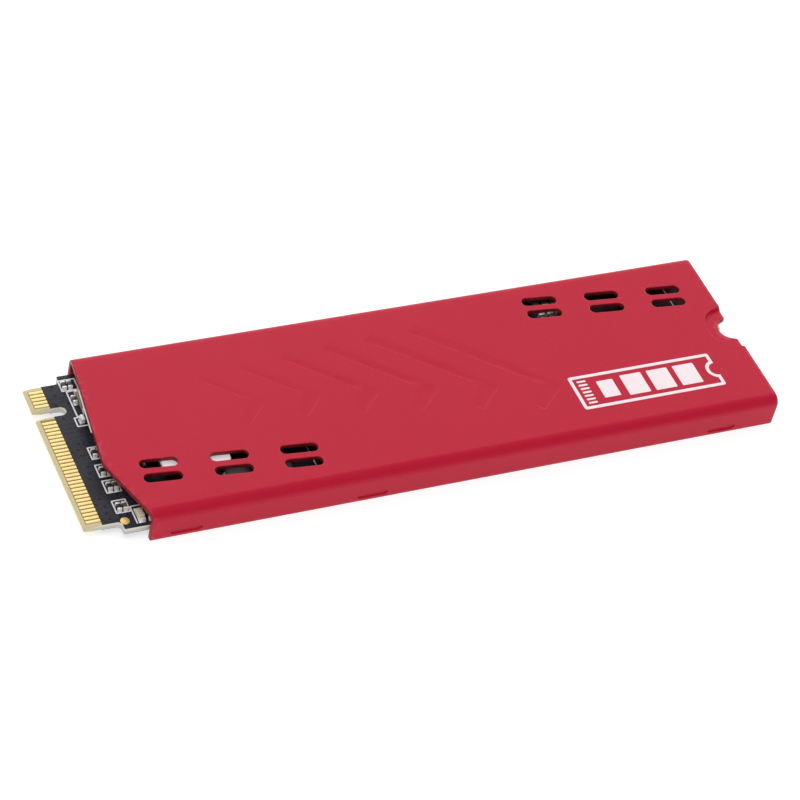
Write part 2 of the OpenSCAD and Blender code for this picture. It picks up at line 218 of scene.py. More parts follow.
def segment_distance(points, start, end):
    side = end - start
    along = np.clip(((points - start) @ side) / (side @ side), 0, 1)
    return np.linalg.norm(points - start - along[:, None] * side, axis=1)


# ---- meshes ----

def finish_node(node, name, parts, look, replaced=True, rim_from=None):
    """One piece made of several solids, on the node's own body and material slot. Faces from index rim_from
    on are the sheet's cut edge, and their points have 1 in the attribute edge."""
    points, faces = join_solids(parts)
    mesh = bpy.data.meshes.new(name)
    mesh.from_pydata([tuple(p) for p in points * MM], [], faces)
    mesh.materials.append(LOOKS[look])
    if rim_from:
        mesh.materials.append(LOOKS["cut"])
        index = np.zeros(len(mesh.polygons), np.int32)
        index[rim_from:] = 1
        mesh.polygons.foreach_set("material_index", index)
        worn = np.zeros(len(points), np.float32)
        worn[[i for face in faces[rim_from:] for i in face]] = 1
        mesh.attributes.new("edge", "FLOAT", "POINT").data.foreach_set("value", worn)
    mesh.polygons.foreach_set("use_smooth", np.ones(len(mesh.polygons), bool))
    mesh.update()
    piece = bpy.data.objects.new(name, mesh)
    bpy.context.scene.collection.objects.link(piece)
    soften = piece.modifiers.new("soft_edges", "WEIGHTED_NORMAL")
    soften.weight = 60
    bodies = frame["record"]["behaviour"]["bodies"]
    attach(piece, next(body for body, nodes in bodies.items() if node in nodes))
    if replaced:
        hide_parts(node)
    return piece


def triangulate(loops, rings, grid):
    """Triangles that fill the first loop, leave out the others and follow every ring. Points of the grid
    that are too close to a loop or a ring are left out."""
    closest = 0.09
    points = []
    sides = []
    for ring in list(loops) + list(rings):
        start = len(points)
        points += [Vector(p) for p in ring]
        sides += [(start + i, start + (i + 1) % len(ring)) for i in range(len(ring))]
    if len(grid):
        fixed = np.array(points)[:, :2]
        for cell in np.array_split(grid, max(1, len(grid) // 400)):
            gap = np.linalg.norm(cell[:, None] - fixed[None], axis=2).min(axis=1)
            points += [Vector(p) for p in cell[gap > closest]]
    flat, _, faces, *_ = geometry.delaunay_2d_cdt(points, sides, [], 0, 1e-6)
    flat = np.array([tuple(p) for p in flat])
    faces = np.array(faces)
    centres = flat[faces].mean(axis=1)
    keep = inside(centres, loops[0])
    for hole in loops[1:]:
        keep &= ~inside(centres, hole)
    faces = faces[keep]
    used, faces = np.unique(faces, return_inverse=True)
    return flat[used], faces.reshape(-1, 3)


def open_loops(faces):
    """Loops of vertex indices along the open sides of a triangle mesh, with the mesh on their left."""
    sides = {(int(a), int(b)) for f in faces for a, b in ((f[0], f[1]), (f[1], f[2]), (f[2], f[0]))}
    after = {a: b for a, b in sides if (b, a) not in sides}
    loops = []
    while after:
        start = min(after)
        loop = [start]
        here = after.pop(start)
        while here != start:
            loop.append(here)
            here = after.pop(here)
        loops.append(np.array(loop))
    return loops


def sheet_solid(loops, place, rim, rings=(), grid=(), rim_steps=3):
    """Closed solid of a flat sheet with rounded edges: points, faces and the index of the first rim face.
    place(flat, side, depth) gives the solid's points, side 0 being the upper face and 1 the lower one,
    at a depth under that face. The loops are the sheet's edges, the outer one first."""
    inset = [grow(loops[0], -rim)] + [grow(hole, rim) for hole in loops[1:]]
    flat, faces = triangulate(inset, rings, grid)
    count = len(flat)
    points = [place(flat, 0, 0.0), place(flat, 1, 0.0)]
    solid = list(faces) + list(faces[:, ::-1] + count)
    rim_from = len(solid)
    total = 2 * count
    angles = np.linspace(0, math.pi / 2, rim_steps + 1)[1:]
    profile = [(0, rim * math.sin(a), rim * (1 - math.cos(a))) for a in angles]
    profile += [(1, out, depth) for _, out, depth in reversed(profile)]
    for loop in open_loops(faces):
        edge = flat[loop]
        normal = outward(edge)
        previous = loop
        for side, out, depth in profile:
            points.append(place(edge + normal * out, side, depth))
            current = np.arange(total, total + len(loop))
            total += len(loop)
            solid += quads(previous, current)
            previous = current
        solid += quads(previous, loop + count)
    return np.concatenate(points), solid, rim_from


def quads(upper, lower):
    return [(upper[i - 1], lower[i - 1], lower[i], upper[i]) for i in range(len(upper))]


def join_solids(solids):
    """One set of points and faces from several."""
    points = []
    faces = []
    start = 0
    for part_points, part_faces in solids:
        points.append(np.asarray(part_points))
        faces += [tuple(int(i) + start for i in f) for f in part_faces]
        start += len(part_points)
    return np.concatenate(points), faces


def plate(loops, z_low, z_high, rim):
    """Level plate with rounded edges: its outline, then any holes."""
    def place(flat, side, depth):
        z = z_high - depth if side == 0 else z_low + depth
        return np.column_stack([flat, np.full(len(flat), z)])

    return sheet_solid(loops, place, rim)[:2]


def prism(loop, origin, along, up, half_width, rim):
    """Solid with an outline in the plane of two directions and its thickness across them."""
    along, up = np.array(along, float), np.array(up, float)
    across = np.cross(along, up)

    def place(flat, side, depth):
        reach = half_width - depth if side == 0 else depth - half_width
        return np.array(origin) + flat[:, :1] * along + flat[:, 1:] * up + reach * across

    return sheet_solid([np.array(loop, float)], place, rim, rim_steps=1)[:2]


def lathe(x, y, profile, count=16):
    """Solid turned about a vertical axis, from (radius, z) pairs that rise from its foot to its top."""
    points = [(x, y, profile[0][1]), (x, y, profile[-1][1])]
    for radius, z in profile:
        points += [(*p, z) for p in circle(x, y, radius, count)]
    rings = [2 + k * count + np.arange(count) for k in range(len(profile))]
    faces = [(0, rings[0][i], rings[0][i - 1]) for i in range(count)]
    for lower, upper in zip(rings, rings[1:]):
        faces += quads(upper, lower)
    faces += [(1, rings[-1][i - 1], rings[-1][i]) for i in range(count)]
    return np.array(points), faces


def rounded_box(low, high, radius, segments=2):
    """Points and faces of a box with rounded edges."""
    shape = bmesh.new()
    bmesh.ops.create_cube(shape, size=1.0)
    for vertex in shape.verts:
        vertex.co = [(low[k] + high[k]) / 2 + vertex.co[k] * (high[k] - low[k]) for k in range(3)]
    bmesh.ops.bevel(shape, geom=shape.edges, offset=radius, segments=segments, profile=0.5, affect="EDGES")
    shape.verts.index_update()
    points = np.array([v.co for v in shape.verts])
    faces = [[v.index for v in f.verts] for f in shape.faces]
    shape.free()
    return points, faces


def solids(node):
    """Lowest and highest corners, in millimetres, of each separate solid of a CAD node."""
    mesh = frame["nodes"][node].data
    places = [tuple(round(c / MM, 3) for c in vertex.co) for vertex in mesh.vertices]
    first = {place: i for i, place in reversed(list(enumerate(places)))}
    root = np.array([first[place] for place in places])
    sides = root[[tuple(edge.vertices) for edge in mesh.edges]]
    group = root.copy()
    spreading = True
    while spreading:
        before = group.copy()
        for here, there in (sides.T, sides[:, ::-1].T):
            np.minimum.at(group, here, group[there])
        spreading = (group != before).any()
    group = group[root]
    places = np.array(places)
    boxes = [(places[group == g].min(axis=0), places[group == g].max(axis=0)) for g in set(group)]
    return sorted(boxes, key=lambda box: tuple(box[0]))


# ---- materials ----

def add_node(tree, kind, output, inputs=None, **settings):
    """One output of a new shader node, whose inputs are given as values or as other nodes' outputs."""
    made = tree.nodes.new("ShaderNode" + kind)
    for key, value in settings.items():
        setattr(made, key, value)
    for key, value in (inputs or {}).items():
        if hasattr(value, "is_output"):
            tree.links.new(value, made.inputs[key])
        else:
            made.inputs[key].default_value = value
    return made.outputs[output]


class Look:
    """A node material under construction, on the object's own coordinates."""

    def __init__(self, name, colour, roughness, metallic=0.0, specular=0.5):
        self.material = bpy.data.materials.new(name)
        self.material.use_nodes = True
        self.tree = self.material.node_tree
        self.shader = self.tree.nodes["Principled BSDF"]
        for socket, value in (
            ("Base Color", (*colour, 1)), ("Roughness", roughness),
            ("Metallic", metallic), ("Specular IOR Level", specular),
        ):
            self.shader.inputs[socket].default_value = value
        self.coords = self.node("TexCoord", "Object")

    def node(self, kind, output, inputs=None, **settings):
        return add_node(self.tree, kind, output, inputs, **settings)

    def axis(self, letter, vector=None):
        """One coordinate of a vector, by default of the place on the object."""
        return self.node("SeparateXYZ", letter, {"Vector": self.coords if vector is None else vector})

    def noise(self, size, detail=3.0, stretch=(1, 1, 1)):
        """Noise whose blobs are about size millimetres across."""
        vector = self.node("Mapping", "Vector", {"Vector": self.coords, "Scale": stretch})
        inputs = {"Vector": vector, "Scale": 1 / (size * MM), "Detail": detail, "Roughness": 0.55}
        return self.node("TexNoise", "Fac", inputs)

    def ramp(self, value, low, high, to_low=0.0, to_high=1.0):
        """Value mapped from low..high to to_low..to_high and clamped."""
        return self.node("MapRange", "Result", {
            "Value": value, "From Min": low, "From Max": high, "To Min": to_low, "To Max": to_high,
        })

    def math(self, operation, a, b=0.0):
        return self.node("Math", "Value", {0: a, 1: b}, operation=operation)

    def mix(self, factor, a, b):
        """Colour mixed from a to b by factor. The Mix node's colour sockets are its inputs 6 and 7 and its
        output 2."""
        a, b = (colour if hasattr(colour, "is_output") else (*colour, 1) for colour in (a, b))
        return self.node("Mix", 2, {0: factor, 6: a, 7: b}, data_type="RGBA")

    def vary(self, value, a, b, low=0.3, high=0.7, most=1.0):
        """Colour that goes from a towards b, by the most given, as a value goes from low to high."""
        return self.mix(self.ramp(value, low, high, 0.0, most), a, b)

    def set(self, socket, value):
        self.tree.links.new(value, self.shader.inputs[socket])

    def bump(self, height, depth):
        """Bump from a height of 0 to 1 that stands for depth millimetres, on top of any bump before it."""
        inputs = {"Height": height, "Distance": depth * MM, "Strength": 1.0}
        before = self.shader.inputs["Normal"].links
        if before:
            inputs["Normal"] = before[0].from_socket
        self.set("Normal", self.node("Bump", "Normal", inputs))

    def finish(self, colour, grain, roughness, depth):
        """The material, with this colour, and with a roughness and a relief that follow the grain."""
        self.set("Base Color", colour)
        self.set("Roughness", self.ramp(grain, 0.3, 0.7, *roughness))
        self.bump(grain, depth)
        return self.material


def red_anodised():
    """Red anodised sheet: a matt coloured film with a fine grain, paler where edges are worn, and paler
    along the lip of the screw recess as a painted highlight.
    """
    look = Look("red_anodised", (0.53, 0.006, 0.034), 0.38, specular=0.19)
    grain = look.noise(0.13, 4)
    colour = look.vary(grain, (0.485, 0.003, 0.026), (0.565, 0.006, 0.037), 0.35, 0.65)
    colour = look.vary(look.noise(9.0, 2), colour, (0.585, 0.009, 0.04), most=0.25)
    colour = look.vary(look.noise(2.2, 4), colour, (0.44, 0.008, 0.034), 0.42, 0.66, 0.22)
    # Paler red where the attribute edge is 1: worn film along the cut edges, and a painted highlight on the
    # recess lip.
    edge = look.node("Attribute", "Fac", attribute_name="edge")
    wear_and_lip_highlight = look.math("MULTIPLY", edge, look.ramp(look.noise(0.6, 5), 0.45, 0.7, 0.0, 0.3))
    return look.finish(look.mix(wear_and_lip_highlight, colour, (0.72, 0.2, 0.24)), grain, (0.32, 0.44), 0.005)


def shaded_red_cut_edge():
    """Punched edge of the sheet: a deeper red that is painted shade, a little smoother, with fine marks
    across it.
    """
    # The dark reds of the cut faces are painted shade.
    look = Look("shaded_red_cut_edge", (0.24, 0.007, 0.012), 0.36, specular=0.3)
    marks = look.noise(0.3, 3, (1, 1, 0.15))
    colour = look.vary(marks, (0.19, 0.006, 0.011), (0.31, 0.011, 0.018), 0.35, 0.65)
    return look.finish(colour, marks, (0.3, 0.45), 0.008)


def white_ink():
    """Screen-printed ink, with the red showing through in small thin patches."""
    look = Look("white_ink", (0.96, 0.83, 0.86), 0.6)
    grain = look.noise(0.12)
    colour = look.vary(grain, (0.94, 0.79, 0.83), (0.99, 0.87, 0.9))
    colour = look.vary(look.noise(0.5, 4), colour, (0.85, 0.55, 0.6), 0.62, 0.75, 0.25)
    return look.finish(colour, grain, (0.5, 0.7), 0.004)


def silicone_pad():
    look = Look("silicone_pad", (0.95, 0.93, 0.93), 0.75)
    grain = look.noise(0.25, 4)
    colour = look.vary(grain, (0.96, 0.91, 0.93), (0.99, 0.95, 0.96))
    colour = look.vary(look.noise(2.0), colour, (0.92, 0.86, 0.89), 0.35, 0.7, 0.3)
    return look.finish(colour, grain, (0.65, 0.85), 0.02)


def contact_gap_shade(look):
    """1 among the contacts and in a thin margin round them, where the narrow gaps get painted shade, and 0
    elsewhere.
    """
    margin = 0.05
    soft = 0.04

    def between(axis, low, high):
        place = look.axis(axis)
        rise = look.ramp(place, (low - margin - soft) * MM, (low - margin) * MM)
        fall = look.ramp(place, (high + margin + soft) * MM, (high + margin) * MM)
        return look.math("MULTIPLY", rise, fall)

    start, end = CONTACT_SPAN
    rows = [between("Y", low, high) for low, high in CONTACT_ROWS]
    return look.math("MULTIPLY", between("X", FRONT + start, FRONT + end), look.math("MAXIMUM", *rows))


def glass_laminate():
    """Glass-fibre board: yellowish faces and tongue, pale grey fibre layers on the cut sides."""
    look = Look("glass_laminate", (0.68, 0.62, 0.4), 0.55)
    layers = look.node("TexWave", "Fac", {
        "Vector": look.coords, "Scale": 1 / (1.9 * MM),
        "Distortion": 1.2, "Detail": 2.0, "Detail Scale": 2.0,
    }, bands_direction="Z")
    fibre = look.noise(0.12, 4, (1, 1, 3))
    resin = look.vary(fibre, (0.62, 0.52, 0.27), (0.78, 0.67, 0.41))
    cut = look.vary(layers, (0.5, 0.49, 0.42), (0.72, 0.71, 0.64), 0.2, 0.8)
    cut = look.vary(fibre, cut, (0.82, 0.82, 0.78), 0.35, 0.75, 0.5)
    upright = look.math("ABSOLUTE", look.axis("Z", look.node("NewGeometry", "Normal")))
    behind = look.ramp(look.axis("X"), (FRONT + BEVEL_L) * MM, (FRONT + MASK_START) * MM)
    side = look.math("MULTIPLY", behind, look.ramp(upright, 0.8, 0.3))
    # Painted shade: dark brown on the upward laminate faces between and round the contacts.
    gap = look.math("MULTIPLY", contact_gap_shade(look), look.ramp(upright, 0.7, 0.9))
    colour = look.mix(gap, look.mix(side, resin, cut), (0.33, 0.21, 0.065))
    return look.finish(colour, fibre, (0.45, 0.7), 0.012)


def trace_lines(look, turn, size):
    """Narrow raised lines where copper tracks run under the mask, turned by an angle in degrees."""
    turned = {"Vector": look.coords, "Rotation": (0, 0, math.radians(turn))}
    return look.node("TexBrick", "Fac", {
        "Vector": look.node("Mapping", "Vector", turned), "Scale": 1 / (size * MM),
        "Mortar Size": 0.05, "Mortar Smooth": 0.3, "Brick Width": 2.6, "Row Height": 0.42,
    }, offset=0.37, squash=1.4, squash_frequency=3)


def dark_mask():
    """Blue-black solder mask, satin, over the faint relief of copper tracks, with small filled holes.
    It is thin and brown along its edge behind the contacts."""
    look = Look("dark_mask", (0.02, 0.021, 0.03), 0.42, specular=0.22)
    cloud = look.noise(1.4)
    colour = look.vary(cloud, (0.016, 0.017, 0.026), (0.028, 0.029, 0.04))
    straight = look.math("MULTIPLY", trace_lines(look, 0, 1.5), look.ramp(look.noise(3.0), 0.48, 0.54))
    slanted = look.math("MULTIPLY", trace_lines(look, 45, 1.2), look.ramp(look.noise(2.2), 0.52, 0.58))
    tracks = look.math("MAXIMUM", straight, slanted)
    colour = look.vary(tracks, colour, (0.05, 0.052, 0.068), 0.0, 1.0, 0.55)
    spots = look.node("TexVoronoi", "Distance", {
        "Vector": look.coords, "Scale": 1 / (1.1 * MM), "Randomness": 0.7,
    }, voronoi_dimensions="2D")
    hole = look.math("MULTIPLY", look.ramp(spots, 0.17, 0.12), look.ramp(cloud, 0.42, 0.5))
    colour = look.mix(hole, colour, (0.008, 0.008, 0.01))
    edge = FRONT + MASK_START
    colour = look.vary(look.axis("X"), colour, (0.045, 0.026, 0.01), (edge + 0.14) * MM, (edge + 0.08) * MM)
    look.bump(tracks, 0.012)
    look.bump(look.math("SUBTRACT", 1.0, hole), 0.03)
    return look.finish(colour, look.noise(0.1), (0.36, 0.5), 0.003)


def gold_plate(name, deep, light, pale):
    """Soft gold plating with a fine grain and patches that are a little paler."""
    look = Look(name, light, 0.34, metallic=0.25)
    grain = look.noise(0.15, 4)
    colour = look.vary(look.noise(2.5), look.vary(grain, deep, light), pale, 0.35, 0.65, 0.4)
    return look.finish(colour, grain, (0.24, 0.38), 0.002)


def tin_solder():
    """Bright solder, uneven where it has flowed."""
    look = Look("tin_solder", (0.95, 0.95, 0.93), 0.25, metallic=0.2)
    grain = look.noise(0.12, 4)
    look.set("Base Color", look.vary(grain, (1.0, 1.0, 0.98), (0.84, 0.84, 0.81), 0.35))
    look.set("Roughness", look.ramp(grain, 0.3, 0.7, 0.14, 0.32))
    look.bump(look.noise(0.2, 2), 0.01)
    return look.material


def mould_compound():
    look = Look("mould_compound", (0.07, 0.06, 0.063), 0.5)
    grain = look.noise(0.06, 4)
    colour = look.vary(grain, (0.05, 0.043, 0.045), (0.09, 0.077, 0.08), 0.35, 0.65)
    colour = look.vary(look.noise(3.0), colour, (0.09, 0.083, 0.086), most=0.4)
    return look.finish(colour, grain, (0.45, 0.65), 0.008)


def fine_grained(name, dark, light, roughness=(0.37, 0.55), size=0.09, depth=0.006, detail=4):
    """Fired ceramic, glaze, ferrite, a printed line or a chip's laminate base, with a fine even grain."""
    look = Look(name, light, roughness[0])
    grain = look.noise(size, detail)
    return look.finish(look.vary(grain, dark, light), grain, roughness, depth)


def brushed_lid():
    """Plated metal, brushed along x."""
    look = Look("brushed_lid", (0.72, 0.7, 0.64), 0.3, metallic=1.0)
    streak = look.noise(0.2, 4, (0.08, 1, 1))
    colour = look.vary(streak, (0.62, 0.6, 0.54), (0.8, 0.78, 0.72))
    return look.finish(colour, streak, (0.25, 0.42), 0.003)


def label_film():
    look = Look("label_film", (0.8, 0.8, 0.78), 0.5)
    grain = look.noise(0.18)
    colour = look.vary(grain, (0.76, 0.76, 0.74), (0.85, 0.85, 0.83))
    colour = look.vary(look.noise(6.0), colour, (0.7, 0.7, 0.68), 0.35, 0.7, 0.25)
    return look.finish(colour, grain, (0.5, 0.5), 0.004)


def pale_floor():
    look = Look("pale_floor", (0.55, 0.55, 0.55), 0.9)
    look.set("Base Color", look.mix(look.noise(60.0), (0.54, 0.54, 0.54), (0.56, 0.56, 0.56)))
    look.shader.inputs["Emission Color"].default_value = (1, 1, 1, 1)
    look.shader.inputs["Emission Strength"].default_value = 0.66
    return look.material


# ---- heat spreader ----

# The sheet is drawn unrolled, in x and in the distance s from the centre line along its outer face, and
# then folded over the two bends into the side walls.
FLAT_HALF = COVER_W / 2 - BEND_R
BEND_LEN = BEND_R * math.pi / 2
BEND_END = FLAT_HALF + BEND_LEN
WALL_LEN = COVER_H - BEND_R
UNROLLED_HALF = BEND_END + WALL_LEN
BEND_STEPS = 12
GRID_STEP = 0.9


def front_edge_x(s):
    """Where the sheet's connector-end edge lies, at a distance s along the unrolled outer face."""
    over_bend = np.clip(np.abs(s) - FLAT_HALF, 0, BEND_LEN)
    y = np.sign(s) * (np.minimum(np.abs(s), FLAT_HALF) + BEND_R * np.sin(over_bend / BEND_R))
    (far_x, far_y), (nose_x, nose_y), (near_x, near_y) = FRONT_EDGE
    far_slope = (far_x - nose_x) / (far_y - nose_y)
    near_slope = (near_x - nose_x) / (nose_y - near_y)
    softness = 0.35
    u = y - nose_y
    return nose_x + (far_slope - near_slope) / 2 * u + (far_slope + near_slope) / 2 * np.hypot(u, softness)


def chevron(i):
    """Outline of one pressed chevron; each is larger and further apart than the one before."""
    corner = (22.4 + 5.95 * i + 0.11 * i * i, 0.95 - 0.45 * i - 0.11 * i * i)
    arm = 4.45 + 1.05 * i + 0.058 * i * i
    band = (1 + 0.12 * i) / math.sin(math.radians(45))
    crook = (-0.8, 0.73)
    lean = 1.1
    foot = 2
    shift = 0.04 * i * i
    shape = [
        (*crook, 0.3), (-foot - shift, -foot, 0.2), (band / 2 - foot - shift, -foot - band / 2, 0.2),
        (band - shift / 2, 0, 0.5), (band / 2 - arm * lean, arm + band / 2, 0.3), (-arm * lean, arm, 0.2),
    ]
    return outline([(corner[0] + x, corner[1] + y, r) for x, y, r in shape], step=0.5, arc_steps=4)


def smooth_step(rise):
    return rise * rise * (3 - 2 * rise)


class Press:
    """A pressed feature: its outline, how deep each face of the sheet follows it, and how wide its sides
    are. Each face has a depth and a distance outside the outline at which its side is half way down."""

    def __init__(self, loop, outer, inner, slope):
        self.loop = loop
        self.faces = (outer, inner)
        self.slope = slope

    def depth(self, flat, side):
        depth, offset = self.faces[side]
        result = np.zeros(len(flat))
        if depth:
            near = close_to(flat, self.loop)
            away = signed_distance(flat[near], self.loop) - offset
            result[near] = depth * smooth_step(np.clip(0.5 - away / self.slope, 0, 1))
        return result

    def rings(self):
        offsets = set()
        for depth, offset in self.faces:
            if depth:
                offsets |= {offset + self.slope * t for t in (-0.7, -0.5, -0.25, 0, 0.25, 0.5, 0.7)}
        return [grow(self.loop, d) for d in sorted(offsets)]


class SoftPress(Press):
    """A shallow press in the outer face alone, whose sides run in gently where they face the gentle side
    and are steep elsewhere."""

    GENTLE_SIDE = (0.3, 0.95)
    GENTLE = 1.1
    STEEP = 0.14

    def __init__(self, loop, depth):
        super().__init__(loop, (depth, 0), (0, 0), self.GENTLE)
        facing = outward(loop) + outward(np.roll(loop, -1, axis=0))
        self.slopes = np.where(facing @ self.GENTLE_SIDE > 0, self.GENTLE, self.STEEP)

    def depth(self, flat, side):
        result = np.zeros(len(flat))
        if side == 0:
            near = close_to(flat, self.loop)
            near = near[inside(flat[near], self.loop)]
            rise = np.ones(len(near))
            for start, end, slope in zip(self.loop, np.roll(self.loop, -1, axis=0), self.slopes):
                rise = np.minimum(rise, segment_distance(flat[near], start, end) / slope)
            result[near] = self.faces[0][0] * smooth_step(rise)
        return result

    def rings(self):
        return [grow(self.loop, -inset) for inset in (-0.05, 0, 0.05, 0.1, 0.15, 0.28, 0.42)]


def close_to(points, loop):
    """Indices of the points within a millimetre of an outline's box."""
    low, high = loop.min(axis=0) - 1, loop.max(axis=0) + 1
    return np.flatnonzero(((points > low) & (points < high)).all(axis=1))


def cover_presses():
    """Every pressed feature of the sheet, with the screw recess last."""
    presses = [SoftPress(chevron(i), CHEVRON_DEPTH * fade) for i, fade in enumerate(CHEVRON_FADE)]
    slope = 0.06
    bump_offset = (BUMP_H - DIMPLE_H) / 2 + slope
    for x in DIMPLE_X:
        for side in (-1, 1):
            s = side * (UNROLLED_HALF - DIMPLE_Z)
            groove = capsule(x, s, DIMPLE_L, DIMPLE_H, arc_steps=8, step=0.4)
            presses.append(Press(groove, (GROOVE_DEPTH, -slope / 2), (DIMPLE_DEPTH, bump_offset), slope))
    recess = circle(CARD_L, 0, RECESS_R, 96)
    presses.append(Press(recess, (RECESS_DEPTH, 0.0), (RECESS_DEPTH, RECESS_WALL), 0.1))
    return presses


def cover_loops():
    """Edges of the unrolled sheet: its outer edge, then the vent slots."""
    clear_of_corner = 0.4
    levels = np.concatenate([
        np.linspace(clear_of_corner - UNROLLED_HALF, -BEND_END, 5)[:-1],
        np.linspace(-BEND_END, -FLAT_HALF, BEND_STEPS + 1),
        np.linspace(-FLAT_HALF, 0, 22)[1:],
    ])
    levels = np.concatenate([levels, -levels[-2::-1]])
    front = [(float(front_edge_x(np.array(-s))), -s, 0) for s in levels]
    mouth = 0.3
    lead = 0.09
    mouth_side = [(CARD_L, -COVER_NOTCH_R - mouth, 0), (CARD_L - lead, -COVER_NOTCH_R - lead, 0)]
    corners = [
        *front,
        (front[-1][0], -UNROLLED_HALF, WALL_CORNER),
        (CARD_L, -UNROLLED_HALF, WALL_CORNER),
        *mouth_side,
        *arc(CARD_L, 0, COVER_NOTCH_R, 270, 90, 25)[2:-2],
        *[(x, -s, radius) for x, s, radius in reversed(mouth_side)],
        (CARD_L, UNROLLED_HALF, WALL_CORNER),
        (front[0][0], UNROLLED_HALF, WALL_CORNER),
    ]
    loops = [outline(corners, step=0.5)]
    for start in SLOT_STARTS:
        for i in range(PAIRS):
            for side in (-1, 1):
                centre = start + rotation(math.radians(SLOT_TILT)) @ (i * SLOT_PITCH, side * SLOT_GAP / 2)
                loops.append(capsule(*centre, SLOT_L, SLOT_W, SLOT_TILT))
    return loops


def fold(presses):
    """A place function that folds the unrolled sheet and presses its features in."""
    def place(flat, side, depth):
        x, s = flat[:, 0], flat[:, 1]
        angle = np.clip(np.abs(s) - FLAT_HALF, 0, BEND_LEN) / BEND_R
        down = np.clip(np.abs(s) - BEND_END, 0, None)
        y = np.minimum(np.abs(s), FLAT_HALF) + BEND_R * np.sin(angle)
        z = COVER_H - BEND_R * (1 - np.cos(angle)) - down
        sunk = sum(press.depth(flat, side) for press in presses)
        sunk = sunk + depth if side == 0 else SHEET_T + sunk - depth
        y = np.sign(s) * (y - np.sin(angle) * sunk)
        return np.column_stack([FRONT + x, y, z - np.cos(angle) * sunk])

    return place


def cover_grid(loops, rim):
    """Points over the unrolled sheet, in lines that are closer together on the bends."""
    levels = np.concatenate([
        np.arange(0, FLAT_HALF, GRID_STEP),
        FLAT_HALF + BEND_LEN * np.arange(BEND_STEPS + 1) / BEND_STEPS,
        BEND_END + WALL_LEN * np.array([0.12, 0.3, 0.5, 0.7, 0.85]),
    ])
    levels = np.concatenate([-levels[::-1], levels[1:]])
    grid = np.array([(x, s) for x in np.arange(TONGUE_L, CARD_L, GRID_STEP) for s in levels])
    edge_gap = 0.2
    slot_gap = 0.4
    keep = inside(grid, grow(loops[0], -rim)) & (signed_distance(grid, loops[0]) < -edge_gap)
    for slot in loops[1:]:
        keep &= ~inside(grid, grow(slot, slot_gap))
    return grid[keep]


def build_heat_spreader():
    presses = cover_presses()
    loops = cover_loops()
    rim = 0.07
    rings = [ring for press in presses[:-1] for ring in press.rings()]
    rings += [grow(slot, margin) for slot in loops[1:] for margin in (0.16, 0.3)]
    recess_arcs = [ring[ring[:, 0] < CARD_L - 0.2] for ring in presses[-1].rings()]
    grid = np.concatenate([cover_grid(loops, rim), *recess_arcs])
    *sheet, rim_from = sheet_solid(loops, fold(presses), rim, rings, grid)
    piece = finish_node("heat_spreader", "heat_spreader_sheet", [sheet], "red", rim_from=rim_from)
    highlight_recess_lip(piece)


def highlight_recess_lip(piece):
    """Marks the lip of the screw recess in the attribute edge, where the red material paints a paler line
    as a painted highlight.
    """
    lip_start, lip_end = RECESS_R + 0.01, RECESS_R + 0.06
    for vertex, worn in zip(piece.data.vertices, piece.data.attributes["edge"].data):
        x, y, z = vertex.co / MM
        if lip_start < math.hypot(x - FRONT - CARD_L, y) < lip_end and z > COVER_H - RECESS_DEPTH / 2:
            worn.value = 1


# ---- circuit card ----

def card_outline(front_x, notch_r):
    """Outline of the card from front_x on, with its key notch and a half-round notch at the screw end."""
    half, tongue = CARD_W / 2, TONGUE_W / 2
    corners = [
        (front_x, -tongue, 0),
        (TONGUE_L, -tongue, TONGUE_FILLET),
        (TONGUE_L, -half, CORNER_R),
        (CARD_L, -half, CORNER_R),
        *arc(CARD_L, 0, notch_r, 270, 90, 25),
        (CARD_L, half, CORNER_R),
        (TONGUE_L, half, CORNER_R),
        (TONGUE_L, tongue, TONGUE_FILLET),
        (front_x, tongue, 0),
        (front_x, KEY_Y + KEY_W / 2, 0),
        *arc(KEY_L - KEY_W / 2, KEY_Y, KEY_W / 2, 90, -90, 13),
        (front_x, KEY_Y - KEY_W / 2, 0),
    ]
    return outline(corners, step=1.0) + (FRONT, 0)


def build_laminate():
    def place(flat, side, depth):
        bevel = BEVEL_H * np.clip(1 - (flat[:, 0] - FRONT) / BEVEL_L, 0, 1)
        z = CARD_HIGH[2] - bevel - depth if side == 0 else CARD_LOW[2] + bevel + depth
        return np.column_stack([flat, z])

    reach = 9.75
    step = 0.15
    crease = np.array([(FRONT + BEVEL_L, y) for y in np.arange(-reach, reach + step / 3, step)])
    crease = crease[np.abs(crease[:, 1] - KEY_Y) > KEY_W / 2 + 0.08]
    solid = sheet_solid([card_outline(0, SCREW_NOTCH_R)], place, 0.04, grid=crease)[:2]
    finish_node("laminate_core", "board_laminate", [solid], "laminate")


def disc_loops(node):
    """A round outline for each disc of a CAD node."""
    return [circle(*(low + high)[:2] / 2, (high - low)[0] / 2) for low, high in solids(node)]


def build_masks():
    for side, holes in (("top", disc_loops("fiducial_marks")), ("bottom", [])):
        node = "solder_mask_" + side
        low, high = box_mm(node)
        solid = plate([card_outline(MASK_START, SCREW_RING_R), *holes], low[2], high[2], 0.015)
        finish_node(node, node + "_film", [solid], "mask")


def replace_plates(node, name, look, radius, rim, inset=0.0):
    """Rounded plates in place of every box of a CAD node."""
    parts = []
    for low, high in solids(node):
        loop = rectangle(*low[:2] + inset, *high[:2] - inset, radius)
        parts.append(plate([loop], low[2], high[2], rim))
    finish_node(node, name, parts, look)


